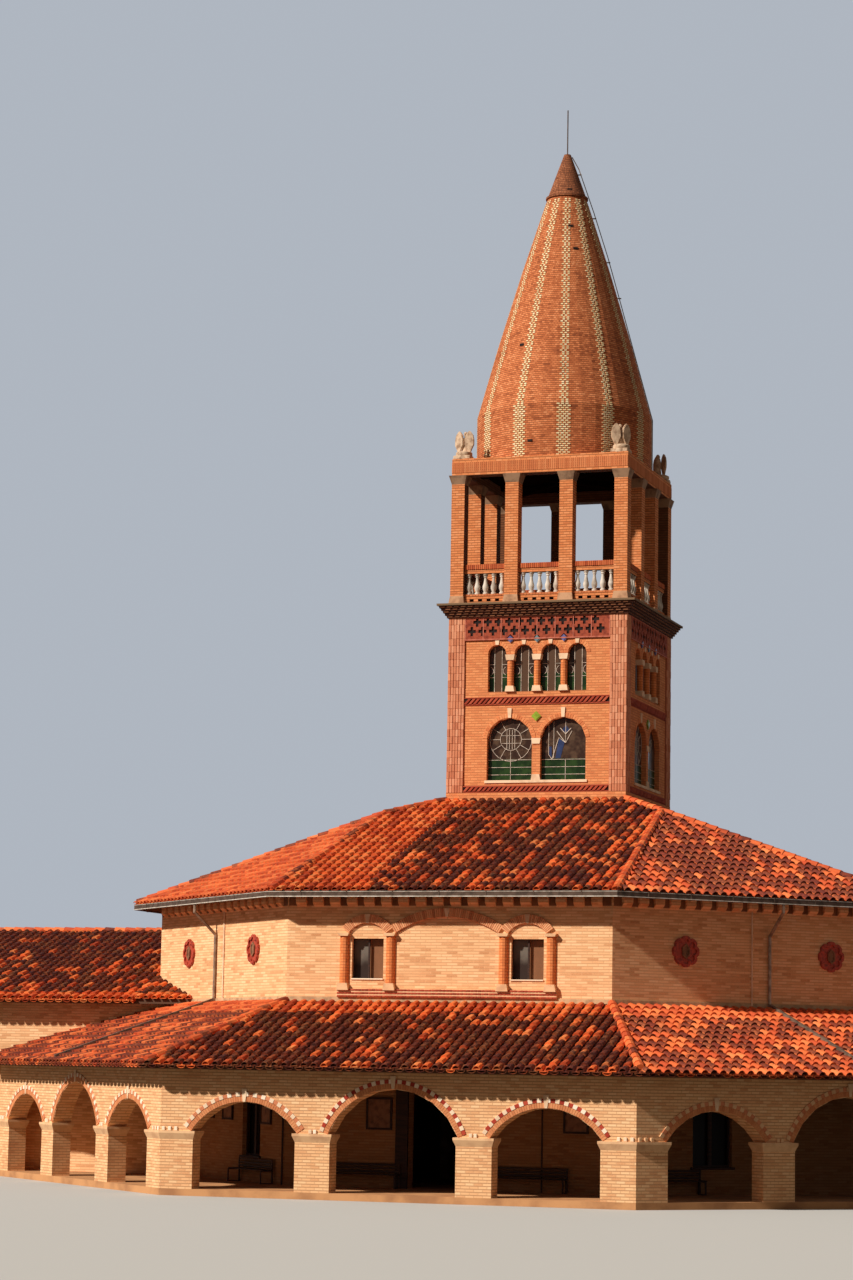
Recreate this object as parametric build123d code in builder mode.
from build123d import *
import os
from math import atan2, cos, degrees, pi, radians, sin, sqrt, tan

# An octagonal church: a low arcade round the outside, a taller nave wall, a tiled roof,
# and a square bell tower with an open belfry and a round brick spire at the centre.
# Millimetres, +Z up, the origin on the ground under the spire. The front faces -Y.

# Plan of the two octagons
octagon_sides = 8
arcade_face = 14400        # length of one side of the outer octagon
nave_face = 10380          # length of one side of the inner octagon
floor_height = 200
arcade_wall = 600          # thickness of the arcade
nave_wall = 500            # thickness of the nave wall

# Arcade bays, from a corner of the octagon inwards
corner_pier_width = 1034   # share of the corner pier on one face
small_opening_width = 3185
middle_pier_width = 1073
impost_height = 1876       # top of the impost caps, where the arches spring
impost_depth = 250
impost_lip = 70            # upright edge over the flare of an impost cap
impost_flare = 75
arch_setback = 60          # how far an arch springs behind the pier face
small_arch_rise = 880
large_arch_rise = 1330
ring_width = 240           # soldier-brick ring of an arch
label_width = 130          # checked outer ring
ring_proud = 18
keystone_width = 170       # at its head; the foot is narrower
keystone_taper = 45
keystone_proud = 45
arch_steps = 8             # straight runs of brickwork in one arch

# Arcade roof
arcade_eave_height = 3830  # top of the tiles at the eave
arcade_overhang = 600
arcade_roof_height = 5760  # where the tiles meet the nave wall
tile_bed = 150             # depth of a roof, measured straight down
hip_radius = 130
hip_steps = 6

# Nave wall
gutter_bottom = 8954
gutter_height = 180
gutter_width = 130
gutter_thickness = 20
eave_overhang = 752        # roof edge beyond the nave wall, without the gutter
sill_band_bottom = 5940
sill_band_height = 206
sill_band_width = 7000
sill_band_proud = 90
window_offset = 2550       # centre of an upper window from the middle of its face
window_width = 1020
window_bottom = 6458
window_height = 1267
inner_column_offset = 1800
outer_column_offset = 3300
column_radius = 150
column_sides = 12
column_base_height = 215
column_cap_bottom = 7798
column_cap_height = 92
cap_flare = 40
upper_ring_width = 270
upper_ring_proud = 60
side_arch_rise = 310
blind_arch_rise = 496
medallion_offset = 2640
medallion_height = 7450
medallion_radius = 475
medallion_proud = 45
medallion_lobes = 4
medallion_sides = 8        # of each lobe
door_width = 2270
door_height = 3200
door_frame_width = 380
door_frame_proud = 60
ground_window_width = 1390
ground_window_bottom = 1000
ground_window_height = 2000
ground_windows = {"southeast": (-1640,), "southwest": (2790,), "east": (0,), "north": (0,),
                  "northeast": (1640,), "northwest": (-2790,)}    # their centres along each side
glass_thickness = 40
downspout_radius = 50
downspout_sides = 8
downspout_offset = 356     # from the middle of a corner face
downspout_drop = 250       # straight fall below the gutter
downspout_bend = 700       # fall of the slanting length back to the wall
downspout_gap = 20         # between the pipe and the wall

# Benches against the nave wall
bench_length = 2600
bench_depth = 420
bench_seat_height = 430
bench_seat_thickness = 50
bench_back_height = 850
bench_leg_width = 80
bench_gap = 60             # between the bench and the wall
benches_along = {"south": (-2625, 2625), "southwest": (3400,), "southeast": (-3400,)}    # their centres

# Main roof
roof_slope = 0.355
facet_apex = 4750          # distance of a corner facet's top from both middle lines

# Tower, whose rows of windows hang from the belfry floor
tower_sides = 4
tower_width = 6271
tower_wall = 420
tower_recess = 60
crossing_pier_width = 900
crossing_pier_height = 7000
crossing_height = 10000
crossing_steps = 8
belfry_base = 19500        # top of the cornice
cornice_height = 470
frieze_height = 785
frieze_gap = 170           # plain brick between the frieze and the slim windows
slim_count = 4             # slim windows on a face
slim_height = 1605
slim_width = 645
slim_gap = 292             # pier between two windows, also between the large ones
slim_sill_gap = 179
upper_string_height = 271
large_head_gap = 443       # plain brick over the heads of the large windows
large_count = 2
large_height = 2113
large_window_rise = 700
large_sill_gap = 180
lower_string_height = 234
window_steps = 6           # straight runs in the head of a tower window
glass_depth = 210          # of the tower's glass behind the brick face
string_proud = 50
pilaster_width = 590
frieze_proud = 35
colonnette_radius = 115
colonnette_head = 347      # from the top of a slim window down to the colonnette's cap
block_height = 190         # cast-stone caps and bases
block_width = 330
block_depth = 260
block_taper = 35
tower_key_width = 150
tower_key_taper = 22
large_key_height = 330
slim_key_height = 150
tower_key_proud = 40
sill_height = 90
sill_proud = 60
cornice_courses = 5
cornice_reach = 338        # how far the cornice stands out from the shaft
cornice_slab_thickness = 70

# Belfry, upwards from its floor
belfry_width = 6228
bays_per_side = 3
belfry_slab = 250
belfry_pier_width = 465
belfry_foot_height = 300   # stone foot of a pier
belfry_foot_flare = 50
belfry_plinth_height = 350
baluster_height = 711
rail_height = 239
rail_depth = 260
rail_reveal = 30           # how far the lower rail is set back
rail_lip = 90              # height of the brick-on-edge top of the rail
belfry_pier_height = 4170
belfry_cap_height = 306
belfry_cap_flare = 85
lintel_height = 584
lintel_depth = 465
belfry_ceiling_thickness = 200
balusters_per_bay = 5
baluster_sides = 5
baluster_foot_radius = 75
baluster_belly_radius = 92
baluster_neck_radius = 42
belly_height = 220
neck_height = 560

# Spire
spire_sides = 40           # a flat of about two bricks
spire_base_radius = 3050
spire_drum_height = 1860
spire_tip_radius = 690
spire_tip_height = 1660
spire_swell = 70           # how far the middle of the cone bulges out
spire_stages = 3
apex_height = 36030
apex_radius = 120
spire_shell = 250
tip_ring = 60
rod_radius = 22
rod_length = 1640

# Corner figures on the belfry roof
figure_offset = 2790
figure_step_width = 540
figure_step_height = 130
figure_step_inset = 90
figure_steps = 2
figure_sides = 6
figure_radius = 130
figure_setback = 130       # of the body behind its wings
shoulder_height = 480
shoulder_radius = 120
neck_level = 590
figure_neck_radius = 48
face_level = 680
figure_head_radius = 75
crown_level = 770
wing_blade_foot = 150      # width at the foot, then at the widest place
wing_blade_width = 250
wing_blade_belly = 420     # height of the widest place
wing_blade_tip = 130       # of the point, from the middle
wing_blade_height = 880
wing_blade_heel = 620      # height beside the back
wing_blade_thickness = 90
wing_blade_turn = 35

# West wing, cut off past the view
wing_ridge_height = 8430
wing_eave_height = 5920
wing_half_width = 6600
wing_overhang = 600
wing_end = 21000
wing_verge = 300
wing_wall = 450
seam = 0.5                 # clearance between two bodies that only meet

# Worked-out sizes
step_turn = 360 / octagon_sides
octagon = tan(pi / octagon_sides)
arcade_apothem = arcade_face / 2 / octagon
nave_apothem = nave_face / 2 / octagon
large_opening = arcade_face - 2 * (corner_pier_width + small_opening_width + middle_pier_width)
small_centre = large_opening / 2 + middle_pier_width + small_opening_width / 2
roof_edge = nave_apothem + eave_overhang
roof_eave = gutter_bottom + gutter_height
arcade_eave_reach = arcade_apothem + arcade_overhang
arcade_slope = (arcade_roof_height - arcade_eave_height) / (arcade_eave_reach - nave_apothem)
wing_slope = (wing_ridge_height - wing_eave_height) / (wing_half_width + wing_overhang)
column_cap_top = column_cap_bottom + column_cap_height
keystone_stand = keystone_proud - ring_proud
sill_band_top = sill_band_bottom + sill_band_height
column_base_top = sill_band_top + column_base_height

tower_half = tower_width / 2
tower_face = tower_half - tower_recess
shaft_top = belfry_base - cornice_height
frieze_bottom = shaft_top - frieze_height
slim_top = frieze_bottom - frieze_gap
slim_bottom = slim_top - slim_height
upper_string_bottom = slim_bottom - slim_sill_gap - upper_string_height
large_top = upper_string_bottom - large_head_gap
large_bottom = large_top - large_height
lower_string_bottom = large_bottom - large_sill_gap - lower_string_height
large_width = 2 * slim_width + slim_gap
panel_width = tower_width - 2 * pilaster_width
slim_pitch = slim_width + slim_gap
slim_row_width = slim_count * slim_pitch - slim_gap
large_row_width = large_count * (large_width + slim_gap) - slim_gap
colonnette_top = slim_top - colonnette_head

belfry_half = belfry_width / 2
belfry_plinth_top = belfry_base + belfry_plinth_height
baluster_top = belfry_plinth_top + baluster_height
rail_top = baluster_top + rail_height
belfry_cap_bottom = belfry_base + belfry_pier_height
lintel_bottom = belfry_cap_bottom + belfry_cap_height
lintel_top = lintel_bottom + lintel_height
bay_width = (belfry_width - (bays_per_side + 1) * belfry_pier_width) / bays_per_side
bay_pitch = belfry_pier_width + bay_width
pier_line = belfry_half - belfry_pier_width / 2
spire_drum_top = lintel_top + spire_drum_height
spire_tip_bottom = apex_height - spire_tip_height

# The eight sides, named by the way they face, with the turn from +X in degrees
turns = {"south": -90, "southeast": -45, "east": 0, "northeast": 45,
         "north": 90, "northwest": 135, "west": 180, "southwest": 225}
cardinal = ("south", "east", "north", "west")
diagonal = ("southeast", "northeast", "northwest", "southwest")
open_sides = [side for side in turns if side != "west"]
upper_sides = ("south", "east", "north")    # the wing covers the upper wall's west side


def face_plane(turn, reach, height=0.0):
    """The plane of a wall face: x along the wall, y up, z outwards."""
    angle = radians(turn)
    origin = (reach * cos(angle), reach * sin(angle), height)
    return Plane(origin=origin, x_dir=(-sin(angle), cos(angle), 0), z_dir=(cos(angle), sin(angle), 0))


def plan_point(turn, along, reach, height=0.0):
    """A point beside the middle of a side, at a distance from the axis."""
    angle = radians(turn)
    x = reach * cos(angle) - along * sin(angle)
    y = reach * sin(angle) + along * cos(angle)
    return (x, y, height)


def plan_place(side, along, reach):
    """Where something stands beside the middle of a side, turned to face outwards."""
    return Location(plan_point(turns[side], along, reach), (0, 0, turns[side]))


def spaced(count, pitch):
    """Places in a row with an even pitch, half of them either side of its middle."""
    return [(index - (count - 1) / 2) * pitch for index in range(count)]


def mitred(turn, outer, inner, sides=octagon_sides):
    """The plan of one wall of a ring, with mitred ends."""
    share = tan(pi / sides)
    corners = ((-outer, outer), (outer, outer), (inner, inner), (-inner, inner))
    return [plan_point(turn, along * share, reach)[:2] for along, reach in corners]


def ring_wall(turn, outer, inner, bottom, top, sides=octagon_sides):
    """One straight wall of a ring, added to the part in work."""
    with BuildSketch(Plane.XY.offset(bottom)) as plan:
        Polygon(*mitred(turn, outer, inner, sides), align=None)
    extrude(plan.sketch, amount=top - bottom)


def arc_points(centre, half_span, spring, rise, steps):
    """Points along the arc of an arch, from its left springing to its right one."""
    radius = (half_span**2 + rise**2) / 2 / rise
    low = spring + rise - radius
    reach = atan2(half_span, spring - low)
    angles = [reach * (2 * step / steps - 1) for step in range(steps + 1)]
    return [(centre + radius * sin(angle), low + radius * cos(angle)) for angle in angles]


def arch_profile(centre, half_span, spring, rise, bottom, steps=arch_steps):
    """The outline of an arched opening: jambs, and a head in straight runs of brickwork."""
    left = (centre - half_span, bottom)
    right = (centre + half_span, bottom)
    Polygon(left, *arc_points(centre, half_span, spring, rise, steps), right, align=None)


def ring_profile(centre, half_span, spring, rise, width, steps=arch_steps):
    """The band of an arch above its springing line."""
    radius = (half_span**2 + rise**2) / 2 / rise
    low = spring + rise - radius
    outer_half = sqrt((radius + width)**2 - (spring - low)**2)
    inner = arc_points(centre, half_span, spring, rise, steps)
    outer = arc_points(centre, outer_half, spring, rise + width, steps)
    Polygon(*inner, *reversed(outer), align=None)


def keystone(centre, bottom, top, width, taper):
    """A keystone's outline, wider at its head."""
    foot = width / 2 - taper
    Polygon((centre - foot, bottom), (centre + foot, bottom),
            (centre + width / 2, top), (centre - width / 2, top), align=None)


def slab(points, depth):
    """A roof slab: its upper face through the points, its depth straight down."""
    top = Face(Wire.make_polygon([Vector(*point) for point in points], close=True))
    extrude(top, amount=depth, dir=(0, 0, -1))


def clear_of_wing():
    """Cut away what would stand inside the west wing."""
    with BuildSketch() as plan:
        with Locations((-nave_apothem, 0)):
            Rectangle(2 * wing_end, 2 * (wing_half_width + seam), align=(Align.MAX, Align.CENTER))
        with Locations((-nave_apothem, 0)):
            Rectangle(nave_apothem, 2 * (wing_half_width + seam), align=(Align.MIN, Align.CENTER))
    extrude(plan.sketch, amount=wing_ridge_height, mode=Mode.SUBTRACT)


def hip(low, high, radius):
    """A half-round course of ridge tiles along a line of the roof."""
    run = Vector(*high) - Vector(*low)
    level = run.cross(Vector(0, 0, 1))
    with BuildSketch(Plane(origin=low, x_dir=level, z_dir=run)) as tile:
        Polygon(*[(radius * cos(pi * step / hip_steps), -radius * sin(pi * step / hip_steps))
                  for step in range(hip_steps + 1)], align=None)
    extrude(tile.sketch, amount=run.length)


def finish(part, name):
    part.part.label = name
    export_step(part.part, "parts/" + name + ".step")


os.makedirs("parts", exist_ok=True)

bays = ((-small_centre, small_opening_width / 2 + arch_setback, small_arch_rise),
        (0, large_opening / 2 + arch_setback, large_arch_rise),
        (small_centre, small_opening_width / 2 + arch_setback, small_arch_rise))


# Floor of the church and of the arcade walk
with BuildPart() as floor_slab:
    with BuildSketch():
        RegularPolygon(arcade_apothem, side_count=octagon_sides, major_radius=False, rotation=step_turn / 2)
    extrude(amount=floor_height)
finish(floor_slab, "floor_slab")


# Arcade piers: bent ones at the corners, square ones between
def corner_plan(turn, grow):
    """A corner pier's plan: a share of two faces, mitred at the corner between them."""
    outer = arcade_apothem + grow
    inner = arcade_apothem - arcade_wall - grow
    along = arcade_face / 2 - corner_pier_width - grow
    first = turn
    second = turn + step_turn
    return [plan_point(first, along, outer)[:2], plan_point(first, outer * octagon, outer)[:2],
            plan_point(second, -along, outer)[:2], plan_point(second, -along, inner)[:2],
            plan_point(first, inner * octagon, inner)[:2], plan_point(first, along, inner)[:2]]


def pier_plans(grow):
    """Sketch every pier of the arcade, or its cap with a positive growth."""
    for side, turn in turns.items():
        Polygon(*corner_plan(turn, grow), align=None)
        if side in open_sides:
            for sign in (-1, 1):
                centre = sign * (large_opening + middle_pier_width) / 2
                half = middle_pier_width / 2 + grow
                outer = arcade_apothem + grow
                inner = arcade_apothem - arcade_wall - grow
                Polygon(plan_point(turn, centre - half, outer)[:2], plan_point(turn, centre + half, outer)[:2],
                        plan_point(turn, centre + half, inner)[:2], plan_point(turn, centre - half, inner)[:2],
                        align=None)


impost_bottom = impost_height - impost_depth
with BuildPart() as arcade_piers:
    with BuildSketch(Plane.XY.offset(floor_height)):
        pier_plans(0)
    extrude(amount=impost_bottom - floor_height)
    clear_of_wing()
finish(arcade_piers, "arcade_piers")

# Impost caps flare out from the piers to an upright lip
flare_height = impost_depth - impost_lip
with BuildPart() as impost_caps:
    with BuildSketch(Plane.XY.offset(impost_bottom)):
        pier_plans(0)
    extrude(amount=flare_height, taper=-degrees(atan2(impost_flare, flare_height)))
    with BuildSketch(Plane.XY.offset(impost_bottom + flare_height)):
        pier_plans(impost_flare)
    extrude(amount=impost_lip)
    clear_of_wing()
finish(impost_caps, "impost_caps")


# Arcade walls with their arches
arcade_wall_top = arcade_eave_height - tile_bed + arcade_slope * arcade_overhang


def arcade_walls(sides):
    for side in sides:
        turn = turns[side]
        ring_wall(turn, arcade_apothem, arcade_apothem - arcade_wall, impost_height, arcade_wall_top)
        with BuildSketch(face_plane(turn, arcade_apothem)) as arches:
            for centre, half_span, rise in bays:
                arch_profile(centre, half_span, impost_height, rise, floor_height)
        extrude(arches.sketch, amount=-arcade_wall, mode=Mode.SUBTRACT)


with BuildPart() as arcade_walls_cardinal:
    arcade_walls(("south", "east", "north"))
finish(arcade_walls_cardinal, "arcade_walls_cardinal")

# The slanting walls take along what the wing leaves of the west wall
with BuildPart() as arcade_walls_diagonal:
    arcade_walls(diagonal + ("west",))
    clear_of_wing()
finish(arcade_walls_diagonal, "arcade_walls_diagonal")

with BuildPart() as arcade_arch_rings:
    for side in open_sides:
        with BuildSketch(face_plane(turns[side], arcade_apothem)):
            for centre, half_span, rise in bays:
                ring_profile(centre, half_span, impost_height, rise, ring_width + label_width)
        extrude(amount=ring_proud)
finish(arcade_arch_rings, "arcade_arch_rings")

with BuildPart() as arcade_keystones:
    for side in open_sides:
        with BuildSketch(face_plane(turns[side], arcade_apothem + ring_proud)):
            for centre, half_span, rise in bays:
                foot = impost_height + rise
                keystone(centre, foot, foot + ring_width + label_width, keystone_width, keystone_taper)
        extrude(amount=keystone_stand)
finish(arcade_keystones, "arcade_keystones")


# Arcade roof, one tiled plane a side
def arcade_roof(sides):
    outer = arcade_eave_reach
    for side in sides:
        turn = turns[side]
        slab([plan_point(turn, -outer * octagon, outer, arcade_eave_height),
              plan_point(turn, outer * octagon, outer, arcade_eave_height),
              plan_point(turn, nave_face / 2, nave_apothem, arcade_roof_height),
              plan_point(turn, -nave_face / 2, nave_apothem, arcade_roof_height)], tile_bed)


with BuildPart() as arcade_roof_cardinal:
    arcade_roof(cardinal)
    clear_of_wing()
finish(arcade_roof_cardinal, "arcade_roof_cardinal")

with BuildPart() as arcade_roof_diagonal:
    arcade_roof(diagonal)
    clear_of_wing()
finish(arcade_roof_diagonal, "arcade_roof_diagonal")


# Nave walls
nave_top = roof_eave + roof_slope * eave_overhang - tile_bed


def nave_windows(side):
    """Sketch the windows of one side of the nave."""
    if side in upper_sides:
        with Locations((-window_offset, window_bottom), (window_offset, window_bottom)):
            Rectangle(window_width, window_height, align=(Align.CENTER, Align.MIN))
    for centre in ground_windows.get(side, ()):
        with Locations((centre, ground_window_bottom)):
            Rectangle(ground_window_width, ground_window_height, align=(Align.CENTER, Align.MIN))


def nave_walls(sides):
    for side in sides:
        ring_wall(turns[side], nave_apothem, nave_apothem - nave_wall, floor_height, nave_top)
    for side in sides:
        with BuildSketch(face_plane(turns[side], nave_apothem)) as holes:
            nave_windows(side)
            if side in ("south", "west"):
                with Locations((0, floor_height)):
                    Rectangle(door_width, door_height - floor_height, align=(Align.CENTER, Align.MIN))
        extrude(holes.sketch, amount=-nave_wall, mode=Mode.SUBTRACT)


with BuildPart() as nave_walls_cardinal:
    nave_walls(cardinal)
finish(nave_walls_cardinal, "nave_walls_cardinal")

with BuildPart() as nave_walls_diagonal:
    nave_walls(diagonal)
finish(nave_walls_diagonal, "nave_walls_diagonal")

with BuildPart() as nave_glass:
    for side in [side for side in turns if side in upper_sides or side in ground_windows]:
        with BuildSketch(face_plane(turns[side], nave_apothem - nave_wall / 2)):
            nave_windows(side)
        extrude(amount=-glass_thickness)
finish(nave_glass, "nave_glass")

with BuildPart() as door_surround:
    with BuildSketch(face_plane(turns["south"], nave_apothem)):
        with Locations((0, floor_height)):
            Rectangle(door_width + 2 * door_frame_width, door_height + door_frame_width - floor_height,
                      align=(Align.CENTER, Align.MIN))
            Rectangle(door_width, door_height - floor_height, align=(Align.CENTER, Align.MIN),
                      mode=Mode.SUBTRACT)
    extrude(amount=door_frame_proud)
finish(door_surround, "door_surround")

# Half-round columns beside the upper windows, between stone feet and caps
column_places = [sign * offset for offset in (inner_column_offset, outer_column_offset) for sign in (-1, 1)]

with BuildPart() as window_columns:
    for side in upper_sides:
        with BuildSketch(Plane.XY.offset(column_base_top)):
            for centre in column_places:
                with Locations(plan_place(side, centre, nave_apothem)):
                    RegularPolygon(column_radius, side_count=column_sides)
                    Rectangle(column_radius, 2 * column_radius, align=(Align.MAX, Align.CENTER),
                              mode=Mode.SUBTRACT)
        extrude(amount=column_cap_bottom - column_base_top)
finish(window_columns, "window_columns")

with BuildPart() as window_capitals:
    block = 2 * (column_radius + cap_flare)
    for side in upper_sides:
        with BuildSketch(face_plane(turns[side], nave_apothem)):
            for centre in column_places:
                keystone(centre, sill_band_top, column_base_top, 2 * column_radius, -cap_flare)
                keystone(centre, column_cap_bottom, column_cap_top, block, cap_flare)
        extrude(amount=column_radius + cap_flare)
finish(window_capitals, "window_capitals")

# One wide blind arch between two narrow ones, over the upper windows
blind_half = inner_column_offset - column_radius
side_middle = (inner_column_offset + outer_column_offset) / 2
side_half = (outer_column_offset - inner_column_offset) / 2 - column_radius
upper_arches = ((-side_middle, side_half, side_arch_rise), (0, blind_half, blind_arch_rise),
                (side_middle, side_half, side_arch_rise))

with BuildPart() as window_arches:
    for side in upper_sides:
        with BuildSketch(face_plane(turns[side], nave_apothem)):
            for centre, half_span, rise in upper_arches:
                ring_profile(centre, half_span, column_cap_top, rise, upper_ring_width, window_steps)
        extrude(amount=upper_ring_proud)
finish(window_arches, "window_arches")

with BuildPart() as window_keystones:
    for side in upper_sides:
        with BuildSketch(face_plane(turns[side], nave_apothem + upper_ring_proud)):
            for centre, half_span, rise in upper_arches:
                foot = column_cap_top + rise
                keystone(centre, foot, foot + upper_ring_width, keystone_width, keystone_taper)
        extrude(amount=keystone_stand)
finish(window_keystones, "window_keystones")

with BuildPart() as sill_bands:
    for side in upper_sides:
        with BuildSketch(face_plane(turns[side], nave_apothem)):
            with Locations((0, sill_band_bottom)):
                Rectangle(sill_band_width, sill_band_height, align=(Align.CENTER, Align.MIN))
        extrude(amount=sill_band_proud)
finish(sill_bands, "sill_bands")

# Four-lobed medallions
lobe = medallion_radius / 2
with BuildPart() as medallions:
    for side in diagonal:
        with BuildSketch(face_plane(turns[side], nave_apothem)):
            with Locations((-medallion_offset, medallion_height), (medallion_offset, medallion_height)):
                with PolarLocations(lobe, medallion_lobes):
                    RegularPolygon(lobe, side_count=medallion_sides)
                Rectangle(2 * lobe, 2 * lobe)
        extrude(amount=medallion_proud)
finish(medallions, "medallions")


# Gutter round the main eave, one open trough a side
def gutter_plan(turn, edge):
    """The plan of one length of gutter, or of its trough with an edge left round it."""
    outer = roof_edge + gutter_width - edge
    inner = roof_edge + edge
    points = ((-outer * octagon + seam, outer), (outer * octagon - seam, outer),
              (inner * octagon - seam, inner), (-inner * octagon + seam, inner))
    return [plan_point(turn, along, reach)[:2] for along, reach in points]


with BuildPart() as gutters:
    for turn in turns.values():
        with BuildSketch(Plane.XY.offset(gutter_bottom)):
            Polygon(*gutter_plan(turn, 0), align=None)
        extrude(amount=gutter_height)
        with BuildSketch(Plane.XY.offset(gutter_bottom + gutter_thickness)):
            Polygon(*gutter_plan(turn, gutter_thickness), align=None)
        extrude(amount=gutter_height, mode=Mode.SUBTRACT)
finish(gutters, "gutters")

# Downspouts: from the gutter back to the wall of each corner face, then down to the arcade roof
downspout_signs = {"southwest": -1, "southeast": 1, "northeast": -1, "northwest": 1}
gutter_line = roof_edge + gutter_width / 2
pipe_line = nave_apothem + downspout_gap + downspout_radius
bend_top = gutter_bottom - downspout_drop

with BuildPart() as downspouts:
    for side, sign in downspout_signs.items():
        along = sign * downspout_offset
        with BuildLine() as route:
            Polyline(plan_point(turns[side], along, gutter_line, gutter_bottom),
                     plan_point(turns[side], along, gutter_line, bend_top),
                     plan_point(turns[side], along, pipe_line, bend_top - downspout_bend),
                     plan_point(turns[side], along, pipe_line, arcade_roof_height))
        with BuildSketch(Plane(origin=route.line @ 0, z_dir=(0, 0, -1))):
            RegularPolygon(downspout_radius, side_count=downspout_sides)
        sweep(path=route.line, transition=Transition.RIGHT)
finish(downspouts, "downspouts")

# Benches in the arcade walk, with their backs to the nave wall
with BuildPart() as benches:
    for side, centres in benches_along.items():
        for centre in centres:
            back = nave_apothem + bench_gap
            with BuildSketch(Plane.XY.offset(floor_height)):
                for sign in (-1, 1):
                    with Locations(plan_place(side, centre + sign * (bench_length - bench_leg_width) / 2, back)):
                        Rectangle(bench_depth, bench_leg_width, align=(Align.MIN, Align.CENTER))
            extrude(amount=bench_seat_height - bench_seat_thickness)
            with BuildSketch(Plane.XY.offset(floor_height + bench_seat_height - bench_seat_thickness)):
                with Locations(plan_place(side, centre, back)):
                    Rectangle(bench_depth, bench_length, align=(Align.MIN, Align.CENTER))
            extrude(amount=bench_seat_thickness)
            with BuildSketch(Plane.XY.offset(floor_height + bench_seat_height)):
                with Locations(plan_place(side, centre, back)):
                    Rectangle(bench_seat_thickness, bench_length, align=(Align.MIN, Align.CENTER))
            extrude(amount=bench_back_height - bench_seat_height)
finish(benches, "benches")


# Main roof: four planes up to the tower, four triangles at the corners
def roof_height(reach):
    """Height of the tiles at a distance from the tower's axis, on a main plane."""
    return roof_eave + roof_slope * (roof_edge - reach)


def main_planes(sides):
    edge = roof_edge * octagon
    for side in sides:
        turn = turns[side]
        slab([plan_point(turn, -edge, roof_edge, roof_eave), plan_point(turn, edge, roof_edge, roof_eave),
              plan_point(turn, facet_apex, facet_apex, roof_height(facet_apex)),
              plan_point(turn, tower_half, tower_half, roof_height(tower_half)),
              plan_point(turn, -tower_half, tower_half, roof_height(tower_half)),
              plan_point(turn, -facet_apex, facet_apex, roof_height(facet_apex))], tile_bed)


with BuildPart() as main_roof_front_back:
    main_planes(("south", "north"))
finish(main_roof_front_back, "main_roof_front_back")

with BuildPart() as main_roof_sides:
    main_planes(("east", "west"))
finish(main_roof_sides, "main_roof_sides")

with BuildPart() as main_roof_corners:
    for side in diagonal:
        turn = turns[side]
        edge = roof_edge * octagon
        slab([plan_point(turn, -edge, roof_edge, roof_eave), plan_point(turn, edge, roof_edge, roof_eave),
              plan_point(turn, 0, facet_apex * sqrt(2), roof_height(facet_apex))], tile_bed)
finish(main_roof_corners, "main_roof_corners")


with BuildPart() as main_roof_hips:
    edge = roof_edge * octagon
    for side in diagonal:
        turn = turns[side]
        peak = plan_point(turn, 0, facet_apex * sqrt(2), roof_height(facet_apex))
        hip(plan_point(turn, -edge, roof_edge, roof_eave), peak, hip_radius)
        hip(plan_point(turn, edge, roof_edge, roof_eave), peak, hip_radius)
        hip(peak, plan_point(turn, 0, tower_half * sqrt(2), roof_height(tower_half)), hip_radius)
finish(main_roof_hips, "main_roof_hips")

with BuildPart() as arcade_hips:
    for side, turn in turns.items():
        if side not in ("west", "northwest"):
            hip(plan_point(turn, arcade_eave_reach * octagon, arcade_eave_reach, arcade_eave_height),
                plan_point(turn, nave_face / 2, nave_apothem, arcade_roof_height), hip_radius)
finish(arcade_hips, "arcade_hips")


# West wing: two long walls, an end wall and a ridged roof that dies into the nave wall
def nave_body():
    """Cut away the nave, so that the wing ends on its wall."""
    with BuildSketch() as plan:
        RegularPolygon(nave_apothem, side_count=octagon_sides, major_radius=False, rotation=step_turn / 2)
    extrude(plan.sketch, amount=roof_eave, mode=Mode.SUBTRACT)


wing_wall_top = wing_eave_height - tile_bed + wing_slope * wing_overhang

with BuildPart() as wing_floor:
    with BuildSketch():
        with Locations((-arcade_apothem, 0)):
            Rectangle(wing_end - arcade_apothem, 2 * wing_half_width, align=(Align.MAX, Align.CENTER))
    extrude(amount=floor_height)
finish(wing_floor, "wing_floor")

with BuildPart() as wing_walls:
    for sign in (-1, 1):
        middle = sign * (wing_half_width - wing_wall / 2)
        with BuildSketch(Plane.XY.offset(floor_height)):
            with Locations((-wing_end + wing_wall, middle)):
                Rectangle(wing_end - wing_wall, wing_wall, align=(Align.MIN, Align.CENTER))
        extrude(amount=wing_wall_top - floor_height)
    nave_body()
finish(wing_walls, "wing_walls")

with BuildPart() as wing_end_wall:
    with BuildSketch(face_plane(turns["west"], wing_end)):
        peak = wing_ridge_height - tile_bed
        eave = peak - wing_slope * wing_half_width
        Polygon((-wing_half_width, floor_height), (wing_half_width, floor_height), (wing_half_width, eave),
                (0, peak), (-wing_half_width, eave), align=None)
    extrude(amount=-wing_wall)
finish(wing_end_wall, "wing_end_wall")

with BuildPart() as wing_roof:
    outer = wing_half_width + wing_overhang
    start = -nave_apothem / 2
    end = -wing_end - wing_verge
    for sign in (-1, 1):
        slab([(start, sign * seam, wing_ridge_height), (start, sign * outer, wing_eave_height),
              (end, sign * outer, wing_eave_height), (end, sign * seam, wing_ridge_height)], tile_bed)
    nave_body()
finish(wing_roof, "wing_roof")

with BuildPart() as wing_ridge:
    hip((-wing_end - wing_verge, 0, wing_ridge_height), (-nave_apothem, 0, wing_ridge_height), hip_radius)
finish(wing_ridge, "wing_ridge")

# Crossing inside, which carries the tower through the roof
with BuildPart() as crossing_piers:
    with BuildSketch(Plane.XY.offset(floor_height)):
        with GridLocations(tower_width - crossing_pier_width, tower_width - crossing_pier_width, 2, 2):
            Rectangle(crossing_pier_width, crossing_pier_width)
    extrude(amount=crossing_pier_height - floor_height)
finish(crossing_piers, "crossing_piers")


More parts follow.
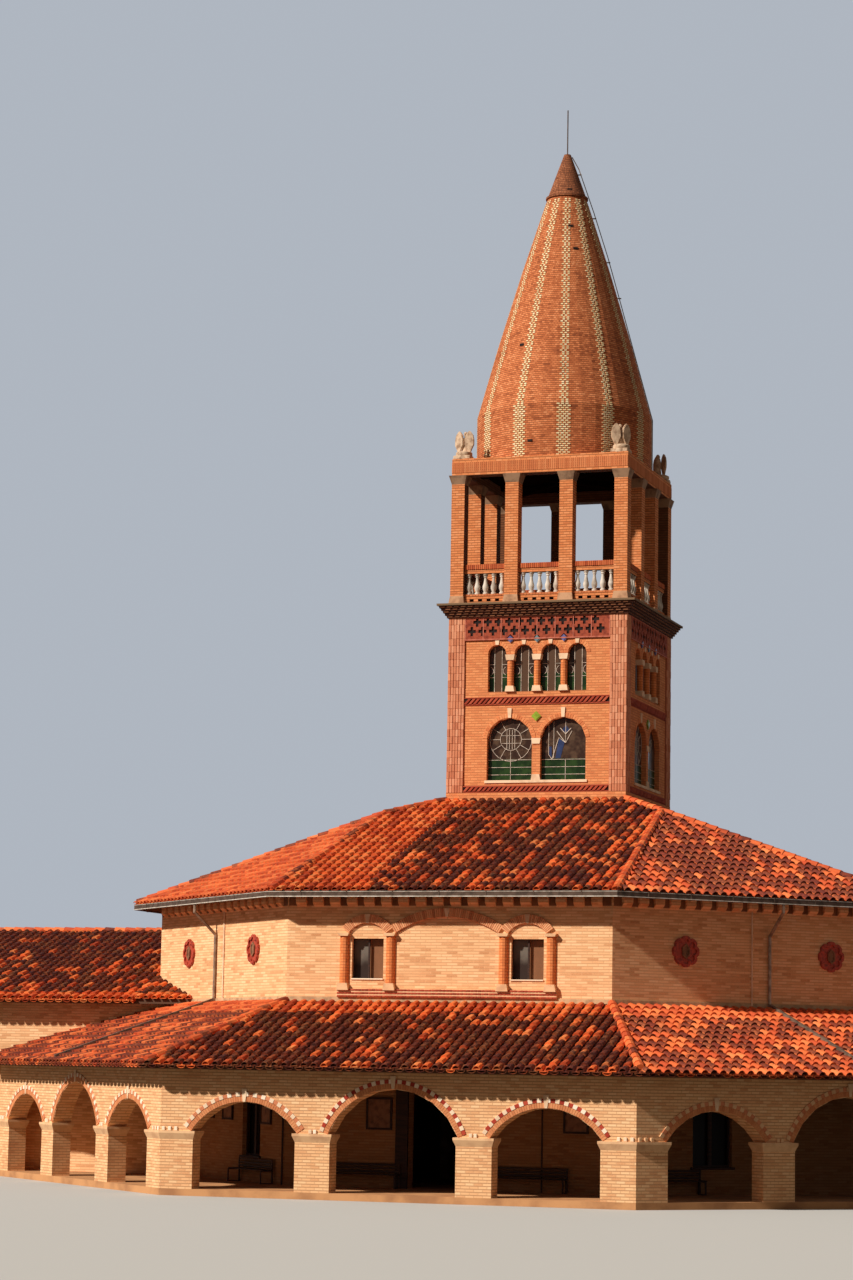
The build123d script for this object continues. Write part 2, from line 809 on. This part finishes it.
def crossing_arches(sides):
    for side in sides:
        ring_wall(turns[side], tower_half, tower_half - tower_wall, crossing_pier_height, crossing_height,
                  tower_sides)
        half_span = tower_half - crossing_pier_width
        with BuildSketch(face_plane(turns[side], tower_half)) as arch:
            arch_profile(0, half_span, crossing_pier_height, half_span, floor_height, crossing_steps)
        extrude(arch.sketch, amount=-tower_wall, mode=Mode.SUBTRACT)


with BuildPart() as crossing_arches_front_back:
    crossing_arches(("south", "north"))
finish(crossing_arches_front_back, "crossing_arches_front_back")

with BuildPart() as crossing_arches_sides:
    crossing_arches(("east", "west"))
finish(crossing_arches_sides, "crossing_arches_sides")

# Tower walls: a row of four slim windows over two large ones on each face
slim_centres = spaced(slim_count, slim_pitch)
large_centres = spaced(large_count, large_width + slim_gap)


def slim_windows():
    """Sketch the four slim windows of one tower face."""
    half = slim_width / 2
    for centre in slim_centres:
        arch_profile(centre, half, slim_top - half, half, slim_bottom, window_steps)


def slim_arcade():
    """Sketch the slim windows as one hole, for the colonnettes to stand free in."""
    slim_windows()
    with Locations((0, slim_bottom)):
        Rectangle(slim_row_width, colonnette_top - slim_bottom, align=(Align.CENTER, Align.MIN))


def large_windows():
    """Sketch the two large windows of one tower face."""
    for centre in large_centres:
        arch_profile(centre, large_width / 2, large_top - large_window_rise, large_window_rise, large_bottom,
                     window_steps)


def tower_walls(sides):
    for side in sides:
        inner = tower_half - tower_wall
        ring_wall(turns[side], tower_half, inner, crossing_height, lower_string_bottom, tower_sides)
        ring_wall(turns[side], tower_face, inner, lower_string_bottom, shaft_top, tower_sides)
        with BuildSketch(face_plane(turns[side], tower_face)) as holes:
            slim_windows()
            large_windows()
        extrude(holes.sketch, amount=-(tower_wall - tower_recess), mode=Mode.SUBTRACT)
        with BuildSketch(face_plane(turns[side], tower_face)) as front:
            slim_arcade()
        extrude(front.sketch, amount=-glass_depth, mode=Mode.SUBTRACT)


with BuildPart() as tower_walls_front_back:
    tower_walls(("south", "north"))
finish(tower_walls_front_back, "tower_walls_front_back")

with BuildPart() as tower_walls_sides:
    tower_walls(("east", "west"))
finish(tower_walls_sides, "tower_walls_sides")

with BuildPart() as tower_glass:
    for side in cardinal:
        with BuildSketch(face_plane(turns[side], tower_face - glass_depth)):
            slim_arcade()
            large_windows()
        extrude(amount=glass_thickness)
finish(tower_glass, "tower_glass")

# Colonnettes between the slim windows, between blocks of cast stone
block_back = tower_face - glass_depth + glass_thickness + seam
colonnette_line = block_back + block_depth / 2
colonnette_centres = spaced(slim_count - 1, slim_pitch)

with BuildPart() as tower_colonnettes:
    for side in cardinal:
        with BuildSketch(Plane.XY.offset(slim_bottom + block_height)):
            for centre in colonnette_centres:
                with Locations(plan_place(side, centre, colonnette_line)):
                    RegularPolygon(colonnette_radius, side_count=column_sides)
        extrude(amount=colonnette_top - slim_bottom - 2 * block_height)
finish(tower_colonnettes, "tower_colonnettes")

with BuildPart() as colonnette_blocks:
    narrow = block_width - 2 * block_taper
    for side in cardinal:
        with BuildSketch(face_plane(turns[side], block_back)):
            for centre in colonnette_centres:
                keystone(centre, slim_bottom, slim_bottom + block_height, narrow, -block_taper)
                keystone(centre, colonnette_top - block_height, colonnette_top, block_width, block_taper)
        extrude(amount=block_depth)
finish(colonnette_blocks, "colonnette_blocks")

# Cast-stone trim of the tower windows: keystones, sills, and cap and foot of the middle pier
with BuildPart() as tower_window_stones:
    for side in cardinal:
        with BuildSketch(face_plane(turns[side], tower_face)):
            for centre in slim_centres:
                keystone(centre, slim_top, slim_top + slim_key_height, tower_key_width, tower_key_taper)
            for centre in large_centres:
                keystone(centre, large_top, large_top + large_key_height, tower_key_width, tower_key_taper)
            spring = large_top - large_window_rise
            keystone(0, spring - block_height, spring, block_width, block_taper)
            keystone(0, large_bottom, large_bottom + block_height, block_width - 2 * block_taper, -block_taper)
            with Locations((0, large_bottom)):
                Rectangle(large_row_width + 2 * sill_proud, sill_height, align=(Align.CENTER, Align.MAX))
        extrude(amount=tower_key_proud)
finish(tower_window_stones, "tower_window_stones")

with BuildPart() as tower_pilasters:
    with BuildSketch(Plane.XY.offset(lower_string_bottom)):
        Rectangle(tower_width, tower_width)
        Rectangle(2 * tower_face, 2 * tower_face, mode=Mode.SUBTRACT)
        Rectangle(panel_width, tower_width, mode=Mode.SUBTRACT)
        Rectangle(tower_width, panel_width, mode=Mode.SUBTRACT)
    extrude(amount=shaft_top - lower_string_bottom)
finish(tower_pilasters, "tower_pilasters")

with BuildPart() as string_courses:
    for side in cardinal:
        with BuildSketch(face_plane(turns[side], tower_face)):
            with Locations((0, lower_string_bottom)):
                Rectangle(panel_width, lower_string_height, align=(Align.CENTER, Align.MIN))
            with Locations((0, upper_string_bottom)):
                Rectangle(panel_width, upper_string_height, align=(Align.CENTER, Align.MIN))
        extrude(amount=string_proud)
finish(string_courses, "string_courses")

with BuildPart() as tower_frieze:
    for side in cardinal:
        with BuildSketch(face_plane(turns[side], tower_face)):
            with Locations((0, frieze_bottom)):
                Rectangle(panel_width, frieze_height, align=(Align.CENTER, Align.MIN))
        extrude(amount=frieze_proud)
finish(tower_frieze, "tower_frieze")

# Corbelled cornice under the belfry, with the belfry floor inside
with BuildPart() as tower_cornice:
    course_height = (cornice_height - cornice_slab_thickness) / cornice_courses
    course_reach = (cornice_reach - cornice_slab_thickness) / cornice_courses
    for course in range(cornice_courses):
        reach = tower_half + course_reach * (course + 1)
        with BuildSketch(Plane.XY.offset(shaft_top + course * course_height)):
            Rectangle(2 * reach, 2 * reach)
        extrude(amount=course_height)
    with BuildSketch(Plane.XY.offset(belfry_base - cornice_slab_thickness)):
        Rectangle(2 * (tower_half + cornice_reach), 2 * (tower_half + cornice_reach))
    extrude(amount=cornice_slab_thickness)
    with BuildSketch(Plane.XY.offset(shaft_top)):
        Rectangle(2 * (tower_half - tower_wall), 2 * (tower_half - tower_wall))
    extrude(amount=belfry_base - belfry_slab - shaft_top, mode=Mode.SUBTRACT)
finish(tower_cornice, "tower_cornice")

# Belfry piers, three bays a side, on spreading feet and under spreading caps
pier_centres = spaced(bays_per_side + 1, bay_pitch)
pier_places = [(x, y) for x in pier_centres for y in pier_centres
               if max(abs(x), abs(y)) == max(pier_centres)]


def pier_feet(mode=Mode.ADD):
    """The stone feet of the belfry piers, narrowing upwards."""
    foot = belfry_pier_width + 2 * belfry_foot_flare
    with BuildSketch(Plane.XY.offset(belfry_base)) as plan:
        with Locations(*pier_places):
            Rectangle(foot, foot)
    slope = degrees(atan2(belfry_foot_flare, belfry_foot_height))
    extrude(plan.sketch, amount=belfry_foot_height, taper=slope, mode=mode)


with BuildPart() as belfry_pier_feet:
    pier_feet()
finish(belfry_pier_feet, "belfry_pier_feet")

with BuildPart() as belfry_piers:
    with BuildSketch(Plane.XY.offset(belfry_base + belfry_foot_height)):
        with Locations(*pier_places):
            Rectangle(belfry_pier_width, belfry_pier_width)
    extrude(amount=belfry_pier_height - belfry_foot_height)
finish(belfry_piers, "belfry_piers")

with BuildPart() as belfry_pier_caps:
    with BuildSketch(Plane.XY.offset(belfry_cap_bottom)):
        with Locations(*pier_places):
            Rectangle(belfry_pier_width, belfry_pier_width)
    extrude(amount=belfry_cap_height, taper=-degrees(atan2(belfry_cap_flare, belfry_cap_height)))
finish(belfry_pier_caps, "belfry_pier_caps")

bay_centres = spaced(bays_per_side, bay_pitch)


def bay_boxes(bottom, top, depth):
    """A low wall or rail in each bay of the belfry."""
    for side in cardinal:
        for centre in bay_centres:
            with BuildSketch(Plane.XY.offset(bottom)) as plan:
                with Locations(plan_place(side, centre, pier_line)):
                    Rectangle(depth, bay_width)
            extrude(plan.sketch, amount=top - bottom)


with BuildPart() as belfry_plinths:
    bay_boxes(belfry_base, belfry_plinth_top, rail_depth)
    pier_feet(Mode.SUBTRACT)
finish(belfry_plinths, "belfry_plinths")

with BuildPart() as belfry_rails:
    bay_boxes(baluster_top, rail_top - rail_lip, rail_depth - 2 * rail_reveal)
    bay_boxes(rail_top - rail_lip, rail_top, rail_depth)
finish(belfry_rails, "belfry_rails")

# Turned balusters: foot, belly, neck and head
baluster_profile = ((0, baluster_foot_radius), (belly_height, baluster_belly_radius),
                    (neck_height, baluster_neck_radius), (baluster_height, baluster_foot_radius))
with BuildPart() as balusters:
    for side in cardinal:
        for bay in bay_centres:
            for offset in spaced(balusters_per_bay, bay_width / balusters_per_bay):
                for height, radius in baluster_profile:
                    with BuildSketch(Plane.XY.offset(belfry_plinth_top + height)):
                        with Locations(plan_place(side, bay + offset, pier_line)):
                            RegularPolygon(radius, side_count=baluster_sides)
                loft(ruled=True)
finish(balusters, "balusters")

with BuildPart() as belfry_lintels:
    with BuildSketch(Plane.XY.offset(lintel_bottom)):
        Rectangle(belfry_width, belfry_width)
        Rectangle(belfry_width - 2 * lintel_depth, belfry_width - 2 * lintel_depth, mode=Mode.SUBTRACT)
    extrude(amount=lintel_height)
finish(belfry_lintels, "belfry_lintels")

with BuildPart() as belfry_ceiling:
    with BuildSketch(Plane.XY.offset(lintel_top)):
        Rectangle(belfry_width - 2 * lintel_depth, belfry_width - 2 * lintel_depth)
    extrude(amount=-belfry_ceiling_thickness)
finish(belfry_ceiling, "belfry_ceiling")


# Spire: a brick drum that turns into a slightly swelling cone, hollow inside
def cone_radius(share):
    """Outside radius of the cone at a share of its height: a straight taper with a slight swell."""
    straight = spire_base_radius + (spire_tip_radius - spire_base_radius) * share
    return straight + 4 * spire_swell * share * (1 - share)


spire_profile = [(lintel_top, spire_base_radius)]
for stage in range(spire_stages + 1):
    share = stage / spire_stages
    spire_profile.append((spire_drum_top + (spire_tip_bottom - spire_drum_top) * share, cone_radius(share)))

with BuildPart() as spire:
    for shell, mode in ((0, Mode.ADD), (spire_shell, Mode.SUBTRACT)):
        for height, radius in spire_profile:
            with BuildSketch(Plane.XY.offset(height)):
                RegularPolygon(radius - shell, side_count=spire_sides)
        loft(ruled=True, mode=mode)
finish(spire, "spire")

with BuildPart() as spire_tip:
    with BuildSketch(Plane.XY.offset(spire_tip_bottom)):
        RegularPolygon(spire_tip_radius + tip_ring, side_count=spire_sides)
    extrude(amount=tip_ring)
    for height, radius in ((spire_tip_bottom + tip_ring, spire_tip_radius), (apex_height, apex_radius)):
        with BuildSketch(Plane.XY.offset(height)):
            RegularPolygon(radius, side_count=spire_sides)
    loft(ruled=True)
finish(spire_tip, "spire_tip")

with BuildPart() as lightning_rod:
    with BuildSketch(Plane.XY.offset(apex_height)):
        RegularPolygon(rod_radius, side_count=downspout_sides)
    extrude(amount=rod_length)
finish(lightning_rod, "lightning_rod")

# Winged figures on stepped bases at the four corners of the belfry roof
figure_base_top = lintel_top + figure_steps * figure_step_height
figure_profile = ((0, figure_radius), (shoulder_height, shoulder_radius), (neck_level, figure_neck_radius),
                  (face_level, figure_head_radius), (crown_level, figure_neck_radius))
blade_outline = ((0, 0), (wing_blade_foot, 0), (wing_blade_width, wing_blade_belly),
                 (wing_blade_tip, wing_blade_height), (0, wing_blade_heel))

with BuildPart() as corner_figures:
    for turn in [turns[side] for side in diagonal]:
        spot = plan_point(turn, 0, figure_offset * sqrt(2))
        body_spot = plan_point(turn, 0, figure_offset * sqrt(2) - figure_setback)
        for step in range(figure_steps):
            width = figure_step_width - step * figure_step_inset
            with BuildSketch(Plane.XY.offset(lintel_top + step * figure_step_height)):
                with Locations(Location(spot)):
                    Rectangle(width, width)
            extrude(amount=figure_step_height)
        for height, radius in figure_profile:
            with BuildSketch(Plane.XY.offset(figure_base_top + height)):
                with Locations(Location(body_spot, (0, 0, turn))):
                    RegularPolygon(radius, side_count=figure_sides)
        loft(ruled=True)
        for sign in (-1, 1):
            blade_turn = turn + sign * wing_blade_turn
            centre = Vector(*spot) + Vector(0, 0, figure_base_top)
            plane = Plane(origin=centre, x_dir=(-sin(radians(blade_turn)), cos(radians(blade_turn)), 0),
                          z_dir=(cos(radians(blade_turn)), sin(radians(blade_turn)), 0))
            with BuildSketch(plane):
                Polygon(*[(sign * x, z) for x, z in blade_outline], align=None)
            extrude(amount=-wing_blade_thickness)
finish(corner_figures, "corner_figures")
